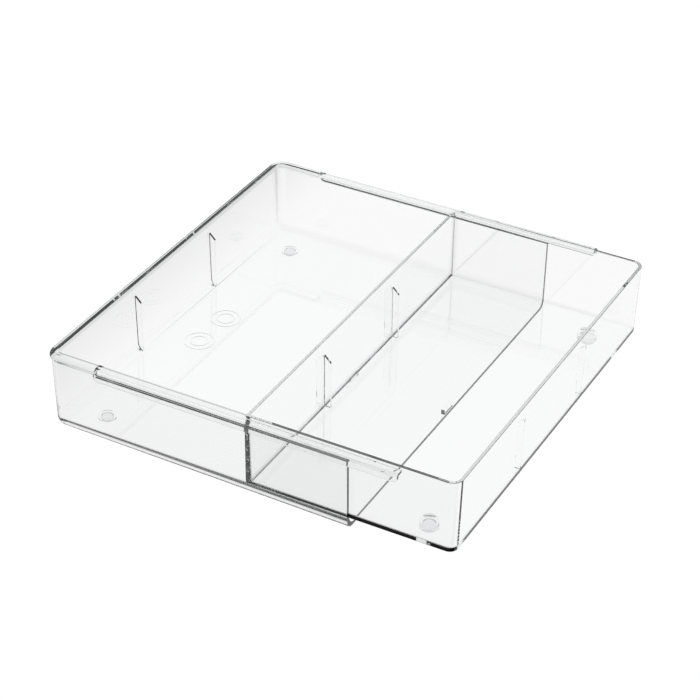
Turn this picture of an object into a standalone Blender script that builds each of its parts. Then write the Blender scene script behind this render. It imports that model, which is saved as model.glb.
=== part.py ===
"""Expandable clear drawer tray: two mouldings that telescope, and four soft feet.

Frame: metres, +Z up, the table at z = 0, +X the way the inner tray slides out.
The outer tray is a tub with its right end open. The inner tray is a closed tub that
stands inside it and hangs its two side rails over the outer tray's lowered walls.
All the sizes below are in millimetres.
"""
import math

import bmesh
import bpy

MM = 0.001

# heights above the table
OUTER_UNDER = 3.15          # underside of the outer tray's floor, at its left end
OUTER_FLOOR = 5.35          # its top face
FLOOR_FALL = 2.8            # how much lower that floor lies at the open end
INNER_UNDER = 7.15          # underside of the inner tray's floor
INNER_FLOOR = 9.35
RIM = 57.15                 # flush rim of both trays
LOW_WALL = 51.35            # top of the outer tray's walls where the rails run
FIN_TOP = 47.15             # where a fin's sloped top meets its wall
BOSS_UNDER = 1.9            # underside of the foot sockets

# walls
WALL = 2.2
DRAFT = 0.0227              # inward lean of every wall, per millimetre of depth

# outer tray: its outer faces 5 mm under the rim
OUTER_LEFT = -137.0
OUTER_HALF_Y = 139.0
OUTER_CORNER = 8.6
OUTER_BOTTOM_R = 6.8
INSIDE_CORNER = 2.4         # upright corners inside the walls
INSIDE_BOTTOM_R = 6.0       # bottom edge inside the walls, so the corner is thicker than the wall
OPEN_END = 69.5             # x of the open right end
LIP_OUT = 1.2               # flush rim: how far it stands out from the wall
LIP_IN = 4.6                # and how far in its inner edge lies
LIP_ROUND = 2.8
NOTCH_X = -101.6            # where the walls drop for the rails
NOTCH_R = 1.5

# inner tray: its outer faces at the rim
INNER_RIGHT = 138.2
INNER_HALF_Y = 136.2
INNER_CORNER = 7.0
INNER_BOTTOM_R = 1.2
DIVIDER_X = 1.8             # centre of its left end wall
DIVIDER_HALF = 1.0          # half thickness at the rim
DIVIDER_DRAFT = 0.008

# side rails, part of the inner tray
RAIL_LEFT = -101.2
RAIL_RIGHT = 102.8
RAIL_UNDER = 49.55          # bottom edge of the outer skirt
RAIL_PLATE = (53.75, 55.55)
SKIRT_Y = (140.0, 141.9)
SKIRT_ROUND = 2.2           # outer edge of the plate
SKIRT_CORNER = 3.0          # lower corners of the skirt, seen from the side
LEG_Y = (134.1, 136.0)      # inner leg, left of the divider only
LEG_UNDER = 51.95
LEG_CORNER = 3.5

# small features
FIN_Y = 45.0
FIN_THICK = 1.5
FIN_REACH = 4.4
STOP_Y = (-10.5, 0.5)
STOP_TOP = 4.9              # top of the stop ridge
LUG_UNDER = 4.0             # underside of the lug that meets it
FOOT_Y = 113.0
OUTER_FOOT_X = -112.2
INNER_FOOT_X = 110.8
BOSS_R = 5.8
SOCKET_R = 4.3
SOCKET_TOP = 2.9
FOOT_R = 4.0
FOOT_TOP = 2.6
MARKS = ((-106.2, -16.0), (-105.2, 15.5))
TRAVEL = 63.5               # slide travel, kept free by the stop ridge and lug


def new_mesh(name, bm):
    """Turn a bmesh in millimetres into a named object in metres."""
    bmesh.ops.remove_doubles(bm, verts=bm.verts, dist=1e-4)
    bmesh.ops.recalc_face_normals(bm, faces=bm.faces)
    bmesh.ops.scale(bm, vec=(MM, MM, MM), verts=bm.verts)
    mesh = bpy.data.meshes.new(name)
    bm.to_mesh(mesh)
    bm.free()
    ob = bpy.data.objects.new(name, mesh)
    bpy.context.scene.collection.objects.link(ob)
    return ob


def ring(x0, x1, half_y, z, r_left, r_right, steps=6):
    """Points round a rectangle with rounded corners, anticlockwise from above."""
    corners = ((x1, -half_y, r_right, -90), (x1, half_y, r_right, 0),
               (x0, half_y, r_left, 90), (x0, -half_y, r_left, 180))
    points = []
    for x, y, r, start in corners:
        cx = x - math.copysign(r, x - (x0 + x1) / 2)
        cy = y - math.copysign(r, y)
        for k in range(steps + 1):
            a = math.radians(start + 90 * k / steps)
            points.append((cx + r * math.cos(a), cy + r * math.sin(a), z))
    return points


def loft(bm, rings):
    """Skin a stack of equal-length rings and close both ends."""
    rows = [[bm.verts.new(p) for p in points] for points in rings]
    count = len(rows[0])
    for low, high in zip(rows, rows[1:]):
        for i in range(count):
            j = (i + 1) % count
            bm.faces.new((low[i], low[j], high[j], high[i]))
    bm.faces.new(rows[0][::-1])
    bm.faces.new(rows[-1])


def prism(bm, outline, axis, start, end):
    """Extrude a closed outline along X (outline is y, z) or along Y (outline is x, z)."""
    def place(u, v, t):
        return (t, u, v) if axis == "X" else (u, t, v)
    loft(bm, [[place(u, v, start) for u, v in outline],
              [place(u, v, end) for u, v in outline]])


def block(bm, x, y, z):
    """A plain box from (low, high) pairs."""
    prism(bm, [(y[0], z[0]), (y[1], z[0]), (y[1], z[1]), (y[0], z[1])], "X", x[0], x[1])


def turned(bm, x, y, profile, steps=32):
    """A round solid: profile is (radius, z) from the bottom to the top."""
    loft(bm, [[(x + r * math.cos(2 * math.pi * k / steps), y + r * math.sin(2 * math.pi * k / steps), z)
               for k in range(steps)] for r, z in profile])


def hoop(bm, x, y, r_in, r_out, z0, z1, steps=32):
    """A flat round hoop."""
    rows = []
    for r, z in ((r_in, z0), (r_out, z0), (r_out, z1), (r_in, z1)):
        rows.append([bm.verts.new((x + r * math.cos(2 * math.pi * k / steps),
                                   y + r * math.sin(2 * math.pi * k / steps), z)) for k in range(steps)])
    for a, b in zip(rows, rows[1:] + rows[:1]):
        for i in range(steps):
            j = (i + 1) % steps
            bm.faces.new((a[i], a[j], b[j], b[i]))


def combine(target, tool, operation):
    """Add a boolean modifier and hide the tool object."""
    tool.hide_render = True
    tool.display_type = "WIRE"
    mod = target.modifiers.new(tool.name, "BOOLEAN")
    mod.operation = operation
    mod.solver = "EXACT"
    mod.object = tool


def clear_plastic(name, colour, roughness):
    mat = bpy.data.materials.new(name)
    mat.use_nodes = True
    shader = mat.node_tree.nodes["Principled BSDF"]
    shader.inputs["Base Color"].default_value = (*colour, 1.0)
    shader.inputs["Roughness"].default_value = roughness
    shader.inputs["Transmission Weight"].default_value = 1.0
    shader.inputs["IOR"].default_value = 1.5
    return mat


def bottom_curve(radius, under, steps=4):
    """(inset, z) pairs round a bottom edge, from the flat underside up to the wall."""
    curve = []
    for k in range(steps + 1):
        a = math.radians(90 * k / steps)
        curve.append((radius * (1 - math.sin(a)), under + radius * (1 - math.cos(a))))
    return curve


def outer_ring(offset, z, corner=None):
    """Ring at an offset from the outer tray's nominal outer face."""
    corner = corner or max(OUTER_CORNER + offset, 1.4)
    return ring(OUTER_LEFT - offset, 120.0, OUTER_HALF_Y + offset, z, corner, corner)


def floor_drop(x):
    """How much lower the outer tray's floor lies at x than at its left end."""
    return FLOOR_FALL * (x - OUTER_LEFT) / (OPEN_END - OUTER_LEFT)


def let_floor_fall(bm):
    """Slope the floor; the round where it meets the walls stretches to follow it."""
    round_top = OUTER_FLOOR + INSIDE_BOTTOM_R
    for vert in bm.verts:
        share = (round_top - vert.co.z) / (round_top - OUTER_FLOOR)
        vert.co.z -= floor_drop(vert.co.x) * min(max(share, 0.0), 1.0)
    bmesh.ops.triangulate(bm, faces=bm.faces[:])         # the sloped quads are no longer flat


def build_outer_tray():
    wall_ref = RIM - 5.0

    def face(z):
        return -(wall_ref - z) * DRAFT

    rings = [outer_ring(face(z) - inset, z) for inset, z in bottom_curve(OUTER_BOTTOM_R, OUTER_UNDER)]
    rings.append(outer_ring(0.0, wall_ref))
    rings.append(outer_ring(0.6 * LIP_OUT, RIM - 4.2))
    for k in range(5):                                   # rounded outer edge of the rim
        a = math.radians(90 * k / 4)
        rings.append(outer_ring(LIP_OUT - LIP_ROUND * (1 - math.cos(a)),
                                RIM - LIP_ROUND * (1 - math.sin(a))))
    rings.append(outer_ring(-LIP_IN + 0.3, RIM))
    rings.append(outer_ring(-LIP_IN, RIM - 0.3))
    rings.append(outer_ring(-LIP_IN, RIM - 2.6))
    rings.append(outer_ring(-WALL, RIM - 5.0, INSIDE_CORNER))
    for inset, z in reversed(bottom_curve(INSIDE_BOTTOM_R, OUTER_FLOOR)):
        rings.append(outer_ring(face(z) - WALL - inset, z, max(INSIDE_CORNER - inset, 1.4)))

    bm = bmesh.new()
    loft(bm, rings)
    let_floor_fall(bm)
    tray = new_mesh("outer_tray", bm)

    # open the right end and lower the side walls, with a hollow corner at the rim
    cut = [(NOTCH_X, RIM + 10)]
    for k in range(7):
        a = math.radians(180 + 90 * k / 6)
        cut.append((NOTCH_X + NOTCH_R + NOTCH_R * math.cos(a), LOW_WALL + NOTCH_R + NOTCH_R * math.sin(a)))
    cut += [(OPEN_END, LOW_WALL), (OPEN_END, -10), (170, -10), (170, RIM + 10)]
    bm = bmesh.new()
    prism(bm, cut, "Y", -170, 170)
    combine(tray, new_mesh("cut_open_end", bm), "DIFFERENCE")

    # fins on the left wall, the stop ridge, the moulded marks and the foot sockets
    bm = bmesh.new()
    tip = OUTER_LEFT + WALL + FIN_REACH
    back = tip - FIN_REACH - 0.5
    for y in (-FIN_Y, FIN_Y):
        outline = [(back, 4.6), (tip, 4.6), (tip, FIN_TOP - FIN_REACH), (back, FIN_TOP + 0.5)]
        prism(bm, outline, "Y", y - FIN_THICK / 2, y + FIN_THICK / 2)
    block(bm, (OPEN_END - 2.8, OPEN_END - 0.4), STOP_Y, (4.6, STOP_TOP + floor_drop(OPEN_END - 2.8)))
    for x, y in MARKS:
        hoop(bm, x, y, 9.2, 10.0, 4.8, 5.65)
        hoop(bm, x, y, 5.2, 6.0, 4.8, 5.65)
    let_floor_fall(bm)
    for y in (-FOOT_Y, FOOT_Y):
        turned(bm, OUTER_FOOT_X, y, [(BOSS_R, BOSS_UNDER), (BOSS_R, 3.9)])
    combine(tray, new_mesh("add_outer_details", bm), "UNION")
    combine(tray, foot_sockets("cut_outer_sockets", OUTER_FOOT_X), "DIFFERENCE")
    return tray


def foot_sockets(name, x):
    bm = bmesh.new()
    for y in (-FOOT_Y, FOOT_Y):
        turned(bm, x, y, [(SOCKET_R, 0.5), (SOCKET_R, SOCKET_TOP)])
    return new_mesh(name, bm)


def inner_ring(offset, z, left, corner_left):
    """Ring at an offset from the inner tray's outer face at the rim; left is its left edge."""
    return ring(left, INNER_RIGHT + offset, INNER_HALF_Y + offset, z, corner_left,
                max(INNER_CORNER + offset, 0.8))


def corner_cut(x, z, r, way):
    """Outline that rounds off a lower corner at (x, z); way is +1 at a left end, -1 at a right end."""
    outline = [(x - way * 2, z - 2), (x + way * r, z - 2)]
    for k in range(5):
        a = math.radians(90 * k / 4)
        outline.append((x + way * r * (1 - math.sin(a)), z + r * (1 - math.cos(a))))
    return outline + [(x - way * 2, z + r)]


def build_inner_tray():
    def face(z):
        return -(RIM - z) * DRAFT

    def divider_face(z):
        return DIVIDER_HALF + (RIM - z) * DIVIDER_DRAFT

    rings = []
    for inset, z in bottom_curve(INNER_BOTTOM_R, INNER_UNDER):
        rings.append(inner_ring(face(z) - inset, z, DIVIDER_X - divider_face(z), 0.3))
    rings.append(inner_ring(-0.0, RIM - 0.3, DIVIDER_X - DIVIDER_HALF, 0.3))
    rings.append(inner_ring(-0.3, RIM, DIVIDER_X - DIVIDER_HALF + 0.3, 0.3))
    rings.append(inner_ring(-WALL + 0.3, RIM, DIVIDER_X + DIVIDER_HALF - 0.3, 1.2))
    rings.append(inner_ring(-WALL, RIM - 0.3, DIVIDER_X + DIVIDER_HALF, 1.2))
    for inset, z in reversed(bottom_curve(1.2, INNER_FLOOR)):
        rings.append(inner_ring(face(z) - WALL - inset, z, DIVIDER_X + divider_face(z) + inset, 1.2))
    bm = bmesh.new()
    loft(bm, rings)
    tray = new_mesh("inner_tray", bm)

    # side rails: a hook profile, plus an inner leg on the overhanging left half
    low, top = RAIL_PLATE
    inside, outside = SKIRT_Y
    hook = [(135.2, low), (inside - 0.6, low), (inside, low - 0.6), (inside, RAIL_UNDER + 0.3),
            (inside + 0.3, RAIL_UNDER), (outside - 0.3, RAIL_UNDER), (outside, RAIL_UNDER + 0.3)]
    for k in range(5):
        a = math.radians(90 * k / 4)
        hook.append((outside - SKIRT_ROUND * (1 - math.cos(a)), top - SKIRT_ROUND * (1 - math.sin(a))))
    hook.append((135.2, top))
    leg = [(LEG_Y[0], LEG_UNDER), (LEG_Y[1], LEG_UNDER), (LEG_Y[1], RIM - 0.05), (LEG_Y[0], RIM - 0.05)]
    bm = bmesh.new()
    for side in (-1, 1):
        prism(bm, [(side * y, z) for y, z in hook], "X", RAIL_LEFT, RAIL_RIGHT)
    combine(tray, new_mesh("add_rails", bm), "UNION")
    bm = bmesh.new()
    for side in (-1, 1):
        prism(bm, [(side * y, z) for y, z in leg], "X", RAIL_LEFT, DIVIDER_X + 0.3)
    combine(tray, new_mesh("add_rail_legs", bm), "UNION")
    bm = bmesh.new()
    for side in (-1, 1):
        skirt = (side * (inside - 0.5), side * (outside + 2))
        prism(bm, corner_cut(RAIL_LEFT, RAIL_UNDER, SKIRT_CORNER, 1), "Y", *skirt)
        prism(bm, corner_cut(RAIL_RIGHT, RAIL_UNDER, SKIRT_CORNER, -1), "Y", *skirt)
        prism(bm, corner_cut(RAIL_LEFT, LEG_UNDER, LEG_CORNER, 1), "Y",
              side * (LEG_Y[0] - 1), side * (LEG_Y[1] + 0.5))
    combine(tray, new_mesh("cut_rail_corners", bm), "DIFFERENCE")

    # fins on both faces of the divider and on the right wall, the stop lug, the foot stems
    bm = bmesh.new()
    low = DIVIDER_HALF + 0.3
    for y in (-FIN_Y, FIN_Y):
        for side, base in ((-1, INNER_UNDER + 0.3), (1, INNER_UNDER + 1.2)):
            tip = DIVIDER_X + side * (low + FIN_REACH)
            back = DIVIDER_X + side * 0.7
            outline = [(back, base), (tip, base), (tip, FIN_TOP - FIN_REACH), (back, FIN_TOP + 0.5)]
            prism(bm, outline, "Y", y - FIN_THICK / 2, y + FIN_THICK / 2)
        tip = INNER_RIGHT - WALL - FIN_REACH - 0.3
        outline = [(tip, INNER_UNDER + 1.2), (INNER_RIGHT - 1.8, INNER_UNDER + 1.2),
                   (INNER_RIGHT - 1.8, FIN_TOP + 0.4), (tip, FIN_TOP - FIN_REACH)]
        prism(bm, outline, "Y", y - FIN_THICK / 2, y + FIN_THICK / 2)
    block(bm, (DIVIDER_X - 2.6, DIVIDER_X + 1.0), (STOP_Y[0] + 0.5, STOP_Y[1] - 0.5), (LUG_UNDER, 8.2))
    for y in (-FOOT_Y, FOOT_Y):
        turned(bm, INNER_FOOT_X, y, [(BOSS_R, BOSS_UNDER), (BOSS_R, 8.2)])
    combine(tray, new_mesh("add_inner_details", bm), "UNION")
    combine(tray, foot_sockets("cut_inner_sockets", INNER_FOOT_X), "DIFFERENCE")
    return tray


def build_foot(name, x, y):
    """A soft bumper: flat underneath, its bottom edge rounded."""
    bm = bmesh.new()
    profile = [(FOOT_R - 0.8 * (1 - math.sin(a)), 0.8 * (1 - math.cos(a)))
               for a in (0.0, math.pi / 4, math.pi / 2)]
    turned(bm, x, y, profile + [(FOOT_R, FOOT_TOP)])
    return new_mesh(name, bm)


def shade_round(ob):
    """Smooth shading for the curved parts only."""
    for poly in ob.data.polygons:
        poly.use_smooth = poly.area < 4e-4
    ob.data.update()


def main():
    for ob in list(bpy.data.objects):
        bpy.data.objects.remove(ob)
    outer = build_outer_tray()
    inner = build_inner_tray()
    feet = [build_foot("foot_outer_front", OUTER_FOOT_X, -FOOT_Y),
            build_foot("foot_outer_rear", OUTER_FOOT_X, FOOT_Y),
            build_foot("foot_inner_front", INNER_FOOT_X, -FOOT_Y),
            build_foot("foot_inner_rear", INNER_FOOT_X, FOOT_Y)]
    outer.data.materials.append(clear_plastic("outer_tray_clear", (0.93, 0.95, 0.95), 0.03))
    inner.data.materials.append(clear_plastic("inner_tray_clear", (0.93, 0.95, 0.95), 0.03))
    for foot in feet:
        foot.data.materials.append(clear_plastic("foot_clear_" + foot.name[5:], (0.9, 0.91, 0.91), 0.25))
        shade_round(foot)
    # the feet of the inner tray travel with it
    for foot in feet[:2]:
        foot.parent = outer
    for foot in feet[2:]:
        foot.parent = inner
    print("slide travel", TRAVEL, "mm, stop gap", round(OPEN_END - 2.8 - DIVIDER_X - 1.0 - TRAVEL, 2), "mm")


main()
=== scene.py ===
# %% [markdown]
# # An expandable drawer tray in clear polystyrene
#
# The object is a desk-drawer insert: two injection-moulded trays, one sliding inside the
# other, on four soft feet. This lesson rebuilds both mouldings as clean, closed meshes with
# rounded edges, gives them a clear plastic that bends light as the real one does, and lights
# them so that the edges draw themselves in grey against white.
#
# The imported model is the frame: every height and wall position below is read from it, so the
# finished pieces sit exactly where the working parts are.

# %% Load the frame
import math

import bmesh
import bpy
from mathutils import Matrix, Vector


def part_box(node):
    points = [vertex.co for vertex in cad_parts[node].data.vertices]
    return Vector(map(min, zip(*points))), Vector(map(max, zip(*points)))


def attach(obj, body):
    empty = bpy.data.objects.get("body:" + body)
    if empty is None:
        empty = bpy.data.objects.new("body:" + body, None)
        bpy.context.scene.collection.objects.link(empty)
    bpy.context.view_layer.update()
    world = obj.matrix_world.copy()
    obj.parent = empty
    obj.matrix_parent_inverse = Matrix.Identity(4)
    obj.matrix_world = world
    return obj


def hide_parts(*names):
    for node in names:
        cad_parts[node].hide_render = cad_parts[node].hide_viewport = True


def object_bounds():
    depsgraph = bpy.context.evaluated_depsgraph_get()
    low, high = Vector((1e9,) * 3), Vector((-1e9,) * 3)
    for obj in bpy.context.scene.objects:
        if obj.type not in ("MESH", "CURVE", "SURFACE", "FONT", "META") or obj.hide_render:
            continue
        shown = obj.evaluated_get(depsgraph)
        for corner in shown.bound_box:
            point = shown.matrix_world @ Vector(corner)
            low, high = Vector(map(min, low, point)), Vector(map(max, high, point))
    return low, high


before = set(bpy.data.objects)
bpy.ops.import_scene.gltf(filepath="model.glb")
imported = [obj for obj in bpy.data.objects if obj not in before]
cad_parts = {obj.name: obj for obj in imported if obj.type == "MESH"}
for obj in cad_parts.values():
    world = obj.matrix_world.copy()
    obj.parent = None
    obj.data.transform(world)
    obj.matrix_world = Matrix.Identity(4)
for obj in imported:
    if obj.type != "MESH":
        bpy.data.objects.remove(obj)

cad_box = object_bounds()
MM = 0.001
print("nodes in the frame:", sorted(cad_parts))
print("box of the frame, mm:", [round(v / MM, 1) for corner in cad_box for v in corner])

# %% [markdown]
# ## Reading the frame
#
# A maker starts from the drawing. Here the drawing is the frame: the box of each moulding
# gives its outer faces and its rim, and everything else is a wall thickness or a radius.
# Lengths are in millimetres, because that is how a mould is drawn.

# %% Read the two trays and the feet
def box_mm(node):
    low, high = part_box(node)
    return low / MM, high / MM


outer_low, outer_high = box_mm("outer_tray")
inner_low, inner_high = box_mm("inner_tray")
foot_boxes = {name: box_mm(name) for name in sorted(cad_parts) if name.startswith("foot_")}

RIM = outer_high.z                      # flush rim of both trays
BOSS_UNDER = inner_low.z                # underside of the foot sockets
OPEN_END = outer_high.x                 # the outer tray's open right end
LIP_OUT = 1.2                           # how far the flush rim stands out from the wall
OUTER_LEFT = outer_low.x + LIP_OUT
OUTER_HALF_Y = outer_high.y - LIP_OUT
INNER_RIGHT = inner_high.x
RAIL_LEFT = inner_low.x
SKIRT_OUT = inner_high.y                # outer face of the side rails
print("rim height", round(RIM, 2), "open end", round(OPEN_END, 2), "rail face", round(SKIRT_OUT, 2))

# %% Wall sizes that both mouldings share
WALL = 2.2
DRAFT = 0.0227                          # inward lean of a wall per millimetre of height
OUTER_UNDER = BOSS_UNDER + 1.25         # floors: underside and top face, at the left end
OUTER_FLOOR = OUTER_UNDER + WALL
FLOOR_FALL = 2.8                        # how much lower the outer floor lies at the open end
INNER_UNDER = OUTER_FLOOR + 1.8
INNER_FLOOR = INNER_UNDER + WALL
LOW_WALL = RIM - 5.8                    # where the outer tray's side walls drop for the rails
FIN_TOP = RIM - 10.0
FIN_Y = 45.0
FIN_THICK = 1.5
FIN_REACH = 4.4
print("floors at", round(OUTER_FLOOR, 2), "and", round(INNER_FLOOR, 2), "mm")

# %% [markdown]
# ## Skinning a stack of rings
#
# A moulded tub is one skin: down the outside, round the bottom edge, up, over the rim and
# back down the inside. It could be a box with Solidify and Bevel, but those leave the draft
# and the rim's shape to chance. Instead each level is one ring with rounded corners, and the
# rings are skinned into a closed body. Every radius is then a real arc.

# %% Rings, skins and simple solids
CORNER_STEPS = 12


def ring(x0, x1, half_y, z, r_left, r_right):
    """Points round a rectangle with rounded corners, anticlockwise from above."""
    points = []
    for x, y, r, start in ((x1, -half_y, r_right, -90), (x1, half_y, r_right, 0),
                           (x0, half_y, r_left, 90), (x0, -half_y, r_left, 180)):
        centre_x = x - math.copysign(r, x - (x0 + x1) / 2)
        centre_y = y - math.copysign(r, y)
        for k in range(CORNER_STEPS + 1):
            a = math.radians(start + 90 * k / CORNER_STEPS)
            points.append((centre_x + r * math.cos(a), centre_y + r * math.sin(a), z))
    return points


def skin(bm, rings):
    """Join equal-length rings into a closed body."""
    rows = [[bm.verts.new(p) for p in points] for points in rings]
    count = len(rows[0])
    for low, high in zip(rows, rows[1:]):
        for i in range(count):
            j = (i + 1) % count
            bm.faces.new((low[i], low[j], high[j], high[i]))
    bm.faces.new(rows[0][::-1])
    bm.faces.new(rows[-1])


def bar(bm, outline, axis, start, end):
    """Push a closed outline along X (outline is y, z) or along Y (outline is x, z)."""
    def place(u, v, t):
        return (t, u, v) if axis == "X" else (u, t, v)
    skin(bm, [[place(u, v, t) for u, v in outline] for t in (start, end)])


def turned(bm, x, y, profile, steps=48):
    """A round solid from (radius, z) pairs, bottom to top."""
    skin(bm, [[(x + r * math.cos(2 * math.pi * k / steps), y + r * math.sin(2 * math.pi * k / steps), z)
               for k in range(steps)] for r, z in profile])


def arc(cx, cz, r, start, end, steps):
    """Points on an arc, angles in degrees."""
    turns = [math.radians(start + (end - start) * k / steps) for k in range(steps + 1)]
    return [(cx + r * math.cos(a), cz + r * math.sin(a)) for a in turns]


def solid(name, bm):
    """Close the book on a bmesh in millimetres: one object in metres."""
    bmesh.ops.remove_doubles(bm, verts=bm.verts, dist=1e-4)
    bmesh.ops.recalc_face_normals(bm, faces=bm.faces)
    bmesh.ops.scale(bm, vec=(MM, MM, MM), verts=bm.verts)
    mesh = bpy.data.meshes.new(name)
    bm.to_mesh(mesh)
    bm.free()
    ob = bpy.data.objects.new(name, mesh)
    bpy.context.scene.collection.objects.link(ob)
    return ob


# %% [markdown]
# ## Fusing and cutting
#
# Fins, rails and sockets are cut into the same steel as the tray, so on the real part they
# are one body with it. A Boolean union does the same in the mesh, and is applied at once so
# that only the finished moulding is left.

# %% Fuse, cut and finish
def apply_modifiers(ob):
    """Bake the modifiers into the mesh."""
    bpy.context.view_layer.update()
    evaluated = ob.evaluated_get(bpy.context.evaluated_depsgraph_get())
    mesh = bpy.data.meshes.new_from_object(evaluated)
    ob.modifiers.clear()
    old = ob.data
    ob.data = mesh
    mesh.name = ob.name
    bpy.data.meshes.remove(old)


def carve(ob, tool, operation):
    """Union or difference with a tool body, which is then thrown away."""
    mod = ob.modifiers.new("carve", "BOOLEAN")
    mod.operation = operation
    mod.solver = "EXACT"
    mod.object = tool
    apply_modifiers(ob)
    bpy.data.objects.remove(tool)


def finish_moulding(ob, edge):
    """Break the sharp edges as a polished mould does, and shade flats flat and rounds round."""
    bevel = ob.modifiers.new("broken_edges", "BEVEL")
    bevel.width = edge * MM
    bevel.segments = 2
    bevel.limit_method = "ANGLE"
    bevel.angle_limit = math.radians(38)
    bevel.use_clamp_overlap = True
    apply_modifiers(ob)
    ob.data.shade_smooth()
    ob.data.set_sharp_from_angle(angle=math.radians(50))
    weighted = ob.modifiers.new("flat_faces_stay_flat", "WEIGHTED_NORMAL")
    weighted.keep_sharp = True
    weighted.weight = 100


# %% [markdown]
# ## The outer tray
#
# The larger moulding has a floor, three walls and an open right end. Its left end carries a
# flush rim with a rounded outer edge; along the sides the walls drop a few millimetres to
# make room for the inner tray's rails. The floor falls a little towards the open end, so the
# rings are skinned level first and the points near the floor are lowered afterwards.

# %% Outer tray: the skin
OUTER_CORNER = 8.6
OUTER_BOTTOM_R = 6.8
INSIDE_CORNER = 2.4
INSIDE_BOTTOM_R = 6.0
LIP_IN = 4.6
LIP_ROUND = 2.8
WALL_REF = RIM - 5.0                    # the height where the walls have their nominal size


def outer_ring(offset, z, corner=None):
    """Ring at an offset from the outer tray's nominal outer face."""
    corner = corner or max(OUTER_CORNER + offset, 1.4)
    return ring(OUTER_LEFT - offset, 120.0, OUTER_HALF_Y + offset, z, corner, corner)


def bottom_arc(radius, under, steps=8):
    """(inset, z) pairs round a bottom edge, from the flat face up to the wall."""
    return [(radius - u, under + radius + v) for u, v in arc(0, 0, radius, -90, 0, steps)]


def outer_lean(z):
    """Draft of the outer tray's walls at height z."""
    return -(WALL_REF - z) * DRAFT


def floor_drop(x):
    """How much lower the outer tray's floor lies at x than at its left end."""
    return FLOOR_FALL * (x - OUTER_LEFT) / (OPEN_END - OUTER_LEFT)


def let_floor_fall(bm):
    """Slope the floor; the round where it meets the walls stretches to follow it."""
    round_top = OUTER_FLOOR + INSIDE_BOTTOM_R
    for vert in bm.verts:
        share = (round_top - vert.co.z) / (round_top - OUTER_FLOOR)
        vert.co.z -= floor_drop(vert.co.x) * min(max(share, 0.0), 1.0)
    bmesh.ops.triangulate(bm, faces=bm.faces[:])         # the sloped quads are no longer flat


def outer_skin():
    rings = [outer_ring(outer_lean(z) - inset, z)
             for inset, z in bottom_arc(OUTER_BOTTOM_R, OUTER_UNDER)]
    rings.append(outer_ring(0.0, WALL_REF))
    rings.append(outer_ring(0.6 * LIP_OUT, RIM - 4.2))
    for u, z in arc(LIP_OUT - LIP_ROUND, RIM - LIP_ROUND, LIP_ROUND, 0, 90, 8):
        rings.append(outer_ring(u, z))
    rings.append(outer_ring(-LIP_IN + 0.3, RIM))
    rings.append(outer_ring(-LIP_IN + 0.09, RIM - 0.09))
    rings.append(outer_ring(-LIP_IN, RIM - 0.3))
    rings.append(outer_ring(-LIP_IN, RIM - 2.6))
    rings.append(outer_ring(-WALL, WALL_REF, INSIDE_CORNER))
    for inset, z in reversed(bottom_arc(INSIDE_BOTTOM_R, OUTER_FLOOR)):
        rings.append(outer_ring(outer_lean(z) - WALL - inset, z, max(INSIDE_CORNER - inset, 1.4)))
    bm = bmesh.new()
    skin(bm, rings)
    let_floor_fall(bm)
    return solid("outer_tray_moulding", bm)


outer_tray = outer_skin()
print("outer skin:", len(outer_tray.data.polygons), "faces")

# %% Outer tray: the open end and the lowered walls
NOTCH_X = RAIL_LEFT - 0.4
NOTCH_R = 1.5


def open_end_cutter():
    outline = [(NOTCH_X, RIM + 10)]
    outline += arc(NOTCH_X + NOTCH_R, LOW_WALL + NOTCH_R, NOTCH_R, 180, 270, 8)
    outline += [(OPEN_END, LOW_WALL), (OPEN_END, -10), (170, -10), (170, RIM + 10)]
    bm = bmesh.new()
    bar(bm, outline, "Y", -170, 170)
    return solid("open_end_cutter", bm)


carve(outer_tray, open_end_cutter(), "DIFFERENCE")

# %% Outer tray: fins, stop ridge, moulded marks and foot sockets
BOSS_R = 5.8
SOCKET_R = 4.3
SOCKET_TOP = BOSS_UNDER + 1.0
STOP_Y = (-10.5, 0.5)
STOP_TOP = OUTER_FLOOR - 0.45
MARKS = ((-106.2, -16.0), (-105.2, 15.5))
MARK_RINGS = ((9.2, 10.0), (5.2, 6.0))


def hoop(bm, x, y, r_in, r_out, z0, z1, steps=64):
    """A flat round hoop."""
    rows = []
    for r, z in ((r_in, z0), (r_out, z0), (r_out, z1), (r_in, z1)):
        rows.append([bm.verts.new((x + r * math.cos(2 * math.pi * k / steps),
                                   y + r * math.sin(2 * math.pi * k / steps), z)) for k in range(steps)])
    for a, b in zip(rows, rows[1:] + rows[:1]):
        for i in range(steps):
            j = (i + 1) % steps
            bm.faces.new((a[i], a[j], b[j], b[i]))


def fin(bm, back, tip, foot_z, y):
    """An upright rib: straight front edge, its top sloping back to the wall at 45 degrees."""
    way = 1 if tip > back else -1
    slope = abs(tip - back)
    outline = [(back, foot_z), (tip, foot_z), (tip, FIN_TOP - slope), (back, FIN_TOP)]
    bar(bm, outline[::way], "Y", y - FIN_THICK / 2, y + FIN_THICK / 2)


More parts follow.
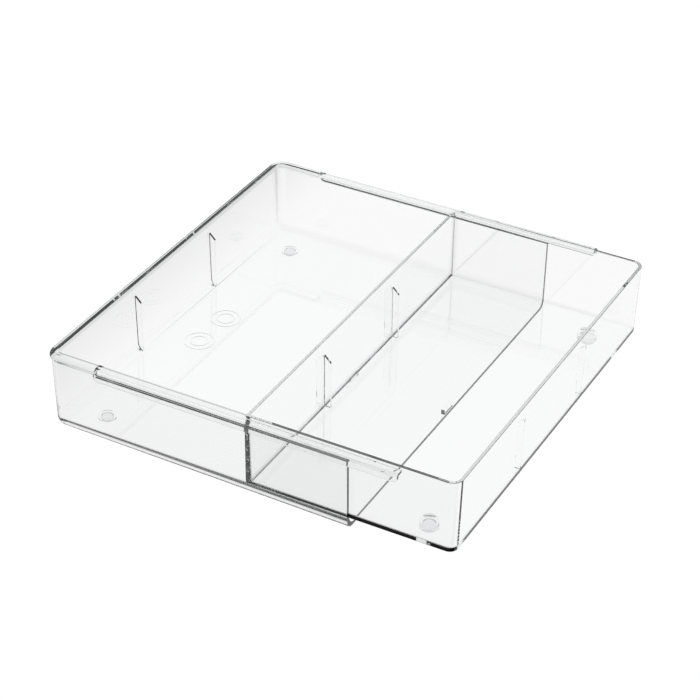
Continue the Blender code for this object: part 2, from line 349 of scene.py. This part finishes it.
def outer_details():
    bm = bmesh.new()
    wall_face = OUTER_LEFT + WALL
    for y in (-FIN_Y, FIN_Y):
        fin(bm, wall_face - 0.5, wall_face + FIN_REACH, OUTER_FLOOR - 0.75, y)
    ridge_top = STOP_TOP + floor_drop(OPEN_END - 2.8)
    ridge = [(OPEN_END - 2.8, OUTER_FLOOR - 0.75), (OPEN_END - 0.4, OUTER_FLOOR - 0.75),
             (OPEN_END - 0.4, ridge_top), (OPEN_END - 2.8, ridge_top)]
    bar(bm, ridge, "Y", *STOP_Y)
    for x, y in MARKS:
        for r_in, r_out in MARK_RINGS:
            hoop(bm, x, y, r_in, r_out, OUTER_FLOOR - 0.55, OUTER_FLOOR + 0.15)
    let_floor_fall(bm)
    for low, high in (foot_boxes["foot_outer_front"], foot_boxes["foot_outer_rear"]):
        x, y = (low.x + high.x) / 2, (low.y + high.y) / 2
        turned(bm, x, y, [(BOSS_R, BOSS_UNDER), (BOSS_R, OUTER_UNDER + 0.75)])
    return solid("outer_details", bm)


def socket_cutter(nodes):
    """Blind holes for the feet."""
    bm = bmesh.new()
    for node in nodes:
        low, high = foot_boxes[node]
        turned(bm, (low.x + high.x) / 2, (low.y + high.y) / 2, [(SOCKET_R, 0.5), (SOCKET_R, SOCKET_TOP)])
    return solid("socket_cutter", bm)


carve(outer_tray, outer_details(), "UNION")
carve(outer_tray, socket_cutter(("foot_outer_front", "foot_outer_rear")), "DIFFERENCE")
finish_moulding(outer_tray, 0.2)
print("outer tray:", len(outer_tray.data.polygons), "faces")

# %% [markdown]
# ## The inner tray
#
# The smaller moulding is a closed tub. Its left wall is the divider in the middle of the
# object, and two hook-shaped rails run along its sides, out over the outer tray's walls.

# %% Inner tray: the skin
INNER_HALF_Y = OUTER_HALF_Y - 2.8
INNER_CORNER = 7.0
INNER_BOTTOM_R = 1.2
DIVIDER_X = 1.8
DIVIDER_HALF = 1.0
DIVIDER_LEAN = 0.008


def inner_ring(offset, z, left, corner_left):
    """Ring at an offset from the inner tray's outer face at the rim; left is its left edge."""
    return ring(left, INNER_RIGHT + offset, INNER_HALF_Y + offset, z, corner_left,
                max(INNER_CORNER + offset, 0.8))


def inner_lean(z):
    """Draft of the inner tray's walls at height z."""
    return -(RIM - z) * DRAFT


def divider_half(z):
    """Half the divider's thickness: it grows towards the floor."""
    return DIVIDER_HALF + (RIM - z) * DIVIDER_LEAN


def inner_skin():
    rings = [inner_ring(inner_lean(z) - inset, z, DIVIDER_X - divider_half(z), 0.3)
             for inset, z in bottom_arc(INNER_BOTTOM_R, INNER_UNDER)]
    for u, v in arc(0.3, 0.3, 0.3, 180, 90, 4):
        rings.append(inner_ring(-u, RIM - 0.3 + v - 0.3, DIVIDER_X - DIVIDER_HALF + u, 0.3))
    for u, v in arc(0.3, 0.3, 0.3, 90, 180, 4):
        rings.append(inner_ring(-WALL + u, RIM - 0.3 + v - 0.3, DIVIDER_X + DIVIDER_HALF - u, 1.2))
    for inset, z in reversed(bottom_arc(INNER_BOTTOM_R, INNER_FLOOR)):
        left = DIVIDER_X + divider_half(z) + inset
        rings.append(inner_ring(inner_lean(z) - WALL - inset, z, left, 1.2))
    bm = bmesh.new()
    skin(bm, rings)
    return solid("inner_tray_moulding", bm)


inner_tray = inner_skin()
print("inner skin:", len(inner_tray.data.polygons), "faces")

# %% Inner tray: the side rails
RAIL_RIGHT = 102.8
RAIL_UNDER = RIM - 7.6                  # bottom edge of the skirt
RAIL_PLATE = (RIM - 3.4, RIM - 1.6)
SKIRT_IN = SKIRT_OUT - 1.9
SKIRT_ROUND = 2.2
SKIRT_CORNER = 3.0
LEG_Y = (134.1, 136.0)
LEG_UNDER = RIM - 5.2
LEG_CORNER = 3.5


def rail_hook():
    """Section of a rail, as (distance from the middle, height)."""
    low, top = RAIL_PLATE
    hook = [(INNER_HALF_Y - 1.0, low)]
    hook += [(SKIRT_IN - 0.6, low), (SKIRT_IN - 0.18, low - 0.18), (SKIRT_IN, low - 0.6)]
    hook += [(SKIRT_IN, RAIL_UNDER + 0.3), (SKIRT_IN + 0.3, RAIL_UNDER)]
    hook += [(SKIRT_OUT - 0.3, RAIL_UNDER), (SKIRT_OUT, RAIL_UNDER + 0.3)]
    hook += arc(SKIRT_OUT - SKIRT_ROUND, top - SKIRT_ROUND, SKIRT_ROUND, 0, 90, 8)
    hook.append((INNER_HALF_Y - 1.0, top))
    return hook


def corner_cut(x, z, r, way):
    """Outline that rounds off a lower corner; way is +1 at a left end, -1 at a right end."""
    outline = [(x - way * 2, z - 2), (x + way * r, z - 2)]
    outline += [(x + way * (r + u), z + r + v) for u, v in arc(0, 0, r, 270, 180, 8)]
    return outline + [(x - way * 2, z + r)]


def add_rails():
    bm = bmesh.new()
    for side in (-1, 1):
        bar(bm, [(side * y, z) for y, z in rail_hook()], "X", RAIL_LEFT, RAIL_RIGHT)
    carve(inner_tray, solid("rail_hooks", bm), "UNION")
    bm = bmesh.new()
    for side in (-1, 1):
        leg = [(side * LEG_Y[0], LEG_UNDER), (side * LEG_Y[1], LEG_UNDER),
               (side * LEG_Y[1], RIM - 0.05), (side * LEG_Y[0], RIM - 0.05)]
        bar(bm, leg, "X", RAIL_LEFT, DIVIDER_X + 0.3)
    carve(inner_tray, solid("rail_legs", bm), "UNION")
    bm = bmesh.new()
    for side in (-1, 1):
        skirt = (side * (SKIRT_IN - 0.5), side * (SKIRT_OUT + 2))
        bar(bm, corner_cut(RAIL_LEFT, RAIL_UNDER, SKIRT_CORNER, 1), "Y", *skirt)
        bar(bm, corner_cut(RAIL_RIGHT, RAIL_UNDER, SKIRT_CORNER, -1), "Y", *skirt)
        bar(bm, corner_cut(RAIL_LEFT, LEG_UNDER, LEG_CORNER, 1), "Y",
            side * (LEG_Y[0] - 1), side * (LEG_Y[1] + 0.5))
    carve(inner_tray, solid("rail_corner_cutter", bm), "DIFFERENCE")


add_rails()
print("inner tray with rails:", len(inner_tray.data.polygons), "faces")

# %% Inner tray: fins, stop lug and foot stems
def inner_details():
    bm = bmesh.new()
    reach = DIVIDER_HALF + 0.3 + FIN_REACH
    right_face = INNER_RIGHT - WALL
    for y in (-FIN_Y, FIN_Y):
        fin(bm, DIVIDER_X - 0.7, DIVIDER_X - reach, INNER_UNDER + 0.3, y)
        fin(bm, DIVIDER_X + 0.7, DIVIDER_X + reach, INNER_FLOOR - 1.0, y)
        fin(bm, right_face + 0.4, right_face - FIN_REACH - 0.3, INNER_FLOOR - 1.0, y)
    lug_under = STOP_TOP - 0.9
    lug = [(DIVIDER_X - 2.6, lug_under), (DIVIDER_X + 1.0, lug_under),
           (DIVIDER_X + 1.0, INNER_UNDER + 1.05), (DIVIDER_X - 2.6, INNER_UNDER + 1.05)]
    bar(bm, lug, "Y", STOP_Y[0] + 0.5, STOP_Y[1] - 0.5)
    for low, high in (foot_boxes["foot_inner_front"], foot_boxes["foot_inner_rear"]):
        x, y = (low.x + high.x) / 2, (low.y + high.y) / 2
        turned(bm, x, y, [(BOSS_R, BOSS_UNDER), (BOSS_R, INNER_UNDER + 1.05)])
    return solid("inner_details", bm)


carve(inner_tray, inner_details(), "UNION")
carve(inner_tray, socket_cutter(("foot_inner_front", "foot_inner_rear")), "DIFFERENCE")
finish_moulding(inner_tray, 0.2)
print("inner tray:", len(inner_tray.data.polygons), "faces")

# %% [markdown]
# ## The feet
#
# Each foot is a small die-cut bumper of clear polyurethane gel, pressed into its socket. It
# is flat where it touches the drawer and flat on top, rounded at its lower edge and eased at its top
# edge.

# %% Four bumpers
def bumper(node):
    """One foot, turned from its profile."""
    low, high = foot_boxes[node]
    x, y = (low.x + high.x) / 2, (low.y + high.y) / 2
    radius = (high.x - low.x) / 2
    profile = [(radius - 0.8 + u, 0.8 + v) for u, v in arc(0, 0, 0.8, -90, 0, 6)]
    profile += [(radius, high.z - 0.25), (radius - 0.07, high.z - 0.07), (radius - 0.25, high.z)]
    bm = bmesh.new()
    turned(bm, x, y, profile)
    ob = solid(node.replace("foot_", "bumper_"), bm)
    ob.data.shade_smooth()
    ob.data.set_sharp_from_angle(angle=math.radians(50))
    return ob


bumpers = {node: bumper(node) for node in foot_boxes}
print("bumpers:", sorted(ob.name for ob in bumpers.values()))

# %% [markdown]
# ## Clear plastic
#
# The trays are injection-moulded crystal polystyrene: water-clear, hard and glossy, with an
# index of refraction near 1.59. It bends light strongly, so edges and bottom rounds draw
# themselves as grey lines while the flat faces stay clear. Polished steel gives it a mirror
# finish, and the melt leaves a very faint waviness as it cools. A trace of absorption in the
# body greys the light that travels lengthwise inside a wall.

# %% A colour helper and a node helper
def srgb(code):
    """'#rrggbb' to linear red, green and blue."""
    values = [int(code[i:i + 2], 16) / 255 for i in (1, 3, 5)]
    return [v / 12.92 if v <= 0.04045 else ((v + 0.055) / 1.055) ** 2.4 for v in values] + [1.0]


def add(tree, kind, settings=None, **links):
    """Add one node, set its values and link its inputs."""
    node = tree.nodes.new(kind)
    for name, value in (settings or {}).items():
        if name in node.inputs.keys():
            node.inputs[name].default_value = value
        else:
            setattr(node, name, value)
    for name, source in links.items():
        tree.links.new(source, node.inputs[name.replace("_", " ")])
    return node


def new_material(name):
    mat = bpy.data.materials.new(name)
    mat.use_nodes = True
    mat.node_tree.nodes.clear()
    return mat, mat.node_tree


# %% Crystal polystyrene
INDEX = 1.55                            # index of refraction, a little under the book value
CLOUD = 9.0                             # absorption in the plastic, per metre: greys the long paths
FLOW_SCALE = 18.0                       # swells per metre of the moulded surface


def crystal_polystyrene(name):
    """Mirror-smooth clear plastic, with a faint moulded swell and a trace of grey in its depth."""
    mat, tree = new_material(name)
    where = add(tree, "ShaderNodeTexCoord")
    flow = add(tree, "ShaderNodeTexNoise", {"Scale": FLOW_SCALE, "Detail": 1.0},
               Vector=where.outputs["Object"])
    ripple = add(tree, "ShaderNodeBump", {"Strength": 0.05, "Distance": 0.02 * MM},
                 Height=flow.outputs["Fac"])
    plastic = add(tree, "ShaderNodeBsdfPrincipled",
                  {"Base Color": srgb("#ffffff"), "Roughness": 0.0, "IOR": INDEX,
                   "Transmission Weight": 1.0},
                  Normal=ripple.outputs["Normal"])
    body = add(tree, "ShaderNodeVolumeAbsorption", {"Color": srgb("#98a0a0"), "Density": CLOUD})
    add(tree, "ShaderNodeOutputMaterial", Surface=plastic.outputs["BSDF"], Volume=body.outputs["Volume"])
    return mat


def gel_bumper():
    """Soft clear gel: a fine grain blurs what is seen through it."""
    mat, tree = new_material("clear_gel_bumper")
    where = add(tree, "ShaderNodeTexCoord")
    grain = add(tree, "ShaderNodeTexNoise", {"Scale": 1.0 / (0.4 * MM)},
                Vector=where.outputs["Object"])
    skin_bump = add(tree, "ShaderNodeBump", {"Strength": 0.1, "Distance": 0.05 * MM},
                    Height=grain.outputs["Fac"])
    gel = add(tree, "ShaderNodeBsdfPrincipled",
              {"Base Color": srgb("#f2f4f4"), "Roughness": 0.1, "IOR": 1.47,
               "Transmission Weight": 1.0},
              Normal=skin_bump.outputs["Normal"])
    add(tree, "ShaderNodeOutputMaterial", Surface=gel.outputs["BSDF"])
    return mat


outer_tray.data.materials.clear()
outer_tray.data.materials.append(crystal_polystyrene("outer_tray_polystyrene"))
inner_tray.data.materials.clear()
inner_tray.data.materials.append(crystal_polystyrene("inner_tray_polystyrene"))
gel = gel_bumper()
for ob in bumpers.values():
    ob.data.materials.append(gel)
print("materials:", [m.name for m in bpy.data.materials])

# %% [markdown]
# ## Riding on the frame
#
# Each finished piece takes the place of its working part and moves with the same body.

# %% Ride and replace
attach(outer_tray, "outer_body")
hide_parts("outer_tray")
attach(inner_tray, "inner_body")
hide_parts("inner_tray")
for node, ob in bumpers.items():
    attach(ob, "outer_body" if "outer" in node else "inner_body")
    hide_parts(node)

# %% [markdown]
# ## Light
#
# Clear plastic is lit like glassware, bright field: the table and the room behind are white,
# and something darker stands in front and overhead, so that the edges, which bend light from
# far round, turn grey while the faces stay clear. The dark lower edge of the front wall needs
# something dark close under the bottom round, so a dark strip is painted on the table along
# the foot of that wall. Only the plastic sees it. The strip and the greys of the table are
# given values: they are a lighting device, not a computed shadow, and belong to this camera alone.

# %% The table
def smooth_step(tree, source, start, end, low, high):
    """A soft ramp from low to high as source goes from start to end."""
    ramp = add(tree, "ShaderNodeMapRange",
               {"interpolation_type": "SMOOTHSTEP", "From Min": start, "From Max": end,
                "To Min": low, "To Max": high}, Value=source)
    return ramp.outputs["Result"]


def product(tree, *factors):
    """Several values multiplied together."""
    result = factors[0]
    for factor in factors[1:]:
        node = add(tree, "ShaderNodeMath", {"operation": "MULTIPLY"})
        tree.links.new(result, node.inputs[0])
        tree.links.new(factor, node.inputs[1])
        result = node.outputs["Value"]
    return result


def grey_steps(tree, source, stops):
    """A ramp of greys, each stop a (position, level) pair."""
    ramp = add(tree, "ShaderNodeValToRGB", Fac=source)
    elements = ramp.color_ramp.elements
    while len(elements) < len(stops):
        elements.new(0.5)
    for element, (position, level) in zip(elements, stops):
        element.position = position
        element.color = (level, level, level, 1.0)
    return ramp.outputs["Color"]


def white_table():
    """A white sheet, seen as pure paper by the camera and as a shaded pool by the plastic."""
    bm = bmesh.new()
    bmesh.ops.create_grid(bm, x_segments=1, y_segments=1, size=6.0 / MM)
    table = solid("table", bm)
    table.location.z = -TABLE_GAP * MM
    mat, tree = new_material("white_table")
    where = add(tree, "ShaderNodeTexCoord")
    axes = add(tree, "ShaderNodeSeparateXYZ", Vector=where.outputs["Object"])
    along = add(tree, "ShaderNodeMapRange", {"From Min": -0.17, "From Max": -0.12},
                Value=axes.outputs["Y"])
    in_front = grey_steps(tree, along.outputs["Result"],
                          ((0.4, TABLE_FRONT), (0.54, TABLE_EDGE), (0.70, TABLE_EDGE), (0.735, 1.0)))
    level = product(tree, smooth_step(tree, axes.outputs["X"], -0.24, -0.12, TABLE_LEFT, 1.0),
                    in_front,
                    smooth_step(tree, axes.outputs["Y"], 0.9, 0.3, TABLE_BACK, TABLE))
    pool = add(tree, "ShaderNodeEmission", {"Color": srgb("#ffffff")}, Strength=level)
    paper = add(tree, "ShaderNodeEmission", {"Color": srgb("#ffffff"), "Strength": PAPER})
    path = add(tree, "ShaderNodeLightPath")
    both = add(tree, "ShaderNodeMixShader", Fac=path.outputs["Is Camera Ray"])
    tree.links.new(pool.outputs["Emission"], both.inputs[1])
    tree.links.new(paper.outputs["Emission"], both.inputs[2])
    add(tree, "ShaderNodeOutputMaterial", Surface=both.outputs["Shader"])
    table.data.materials.append(mat)


TABLE_GAP = 0.5                         # the table lies just under the feet, in millimetres
PAPER = 1.02                            # what the camera sees of the table
TABLE = 0.98                            # what the plastic sees: under the tray,
TABLE_LEFT = 0.74                       # to its left,
TABLE_BACK = 0.7                        # far behind it,
TABLE_FRONT = 0.55                      # in front of it,
TABLE_EDGE = 0.05                       # and in the painted strip along the foot of the front wall
white_table()

# %% The room
world = bpy.data.worlds.new("studio")
bpy.context.scene.world = world
world.use_nodes = True
world.node_tree.nodes.clear()


def studio_world(tree):
    """A white room, darker overhead and behind the camera."""
    where = add(tree, "ShaderNodeTexCoord")
    axes = add(tree, "ShaderNodeSeparateXYZ", Vector=where.outputs["Generated"])
    level = product(tree, smooth_step(tree, axes.outputs["Z"], 0.6, 0.95, 0.95, 0.5),
                    smooth_step(tree, axes.outputs["Y"], -0.5, 0.2, 0.3, 1.0))
    glow = add(tree, "ShaderNodeBackground", {"Color": srgb("#f8fafb")}, Strength=level)
    add(tree, "ShaderNodeOutputWorld", Surface=glow.outputs["Background"])


studio_world(world.node_tree)

# %% Camera
CAMERA_AZIMUTH = 28.04                  # degrees round from the front
CAMERA_HEIGHT = 33.685                  # degrees above the table
CAMERA_ROLL = 0.858
CAMERA_DISTANCE = 1.38704
LENS = 113.672


def place_camera():
    low, high = cad_box
    aim = (low + high) / 2 + Vector((0.0008, -0.0084, 0.0))
    a, e = math.radians(CAMERA_AZIMUTH), math.radians(CAMERA_HEIGHT)
    back = Vector((math.sin(a) * math.cos(e), -math.cos(a) * math.cos(e), math.sin(e)))
    camera = bpy.data.objects.new("camera", bpy.data.cameras.new("camera"))
    bpy.context.scene.collection.objects.link(camera)
    camera.data.lens = LENS
    camera.data.sensor_width = 36.0
    camera.data.clip_start = 0.05
    camera.data.clip_end = 50.0
    turn = back.to_track_quat("Z", "Y").to_matrix().to_4x4()
    roll = Matrix.Rotation(math.radians(CAMERA_ROLL), 4, "Z")
    camera.matrix_world = Matrix.Translation(aim + back * CAMERA_DISTANCE) @ turn @ roll
    bpy.context.scene.camera = camera
    return camera


camera = place_camera()
print("camera at", [round(v, 4) for v in camera.matrix_world.translation])

# %% Light paths and colour
scene = bpy.context.scene
scene.view_settings.view_transform = "Standard"
scene.view_settings.look = "None"
scene.cycles.use_denoising = True
scene.cycles.max_bounces = 32
scene.cycles.transmission_bounces = 32
scene.cycles.glossy_bounces = 16
scene.cycles.transparent_max_bounces = 32
